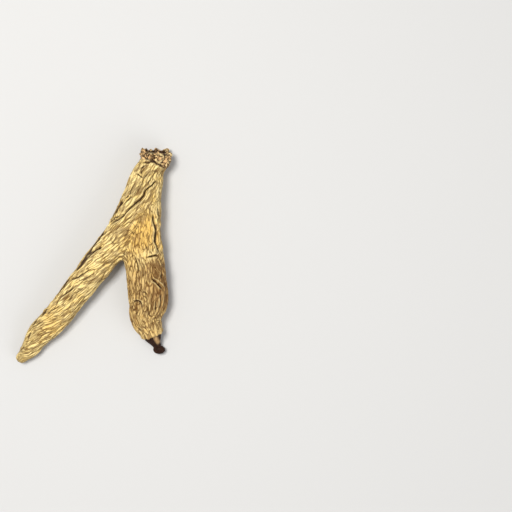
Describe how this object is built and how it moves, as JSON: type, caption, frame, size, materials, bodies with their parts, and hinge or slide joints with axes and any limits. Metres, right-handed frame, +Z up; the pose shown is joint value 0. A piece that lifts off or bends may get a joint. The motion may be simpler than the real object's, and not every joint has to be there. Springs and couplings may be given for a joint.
{
  "type": "ginseng root",
  "caption": "Dried forked ginseng root lying on its side: rough crown collar, thick wrinkled trunk, one long tapering leg and one short broad leg with a rootlet stub.",
  "frame": {"origin": "on the surface that the root lies on, under the middle of its bounding box", "axes": "+Z up from the surface, +Y towards the crown, the two legs towards -Y, the long leg towards -X"},
  "size_m": [0.0664, 0.0914, 0.016],
  "materials": {
    "root_skin": "matt dried skin, pale yellow-tan on the ridges and brown in the wrinkles"
  },
  "bodies": {
    "root": {"ginseng_root": "root_skin"}
  },
  "joints": []
}
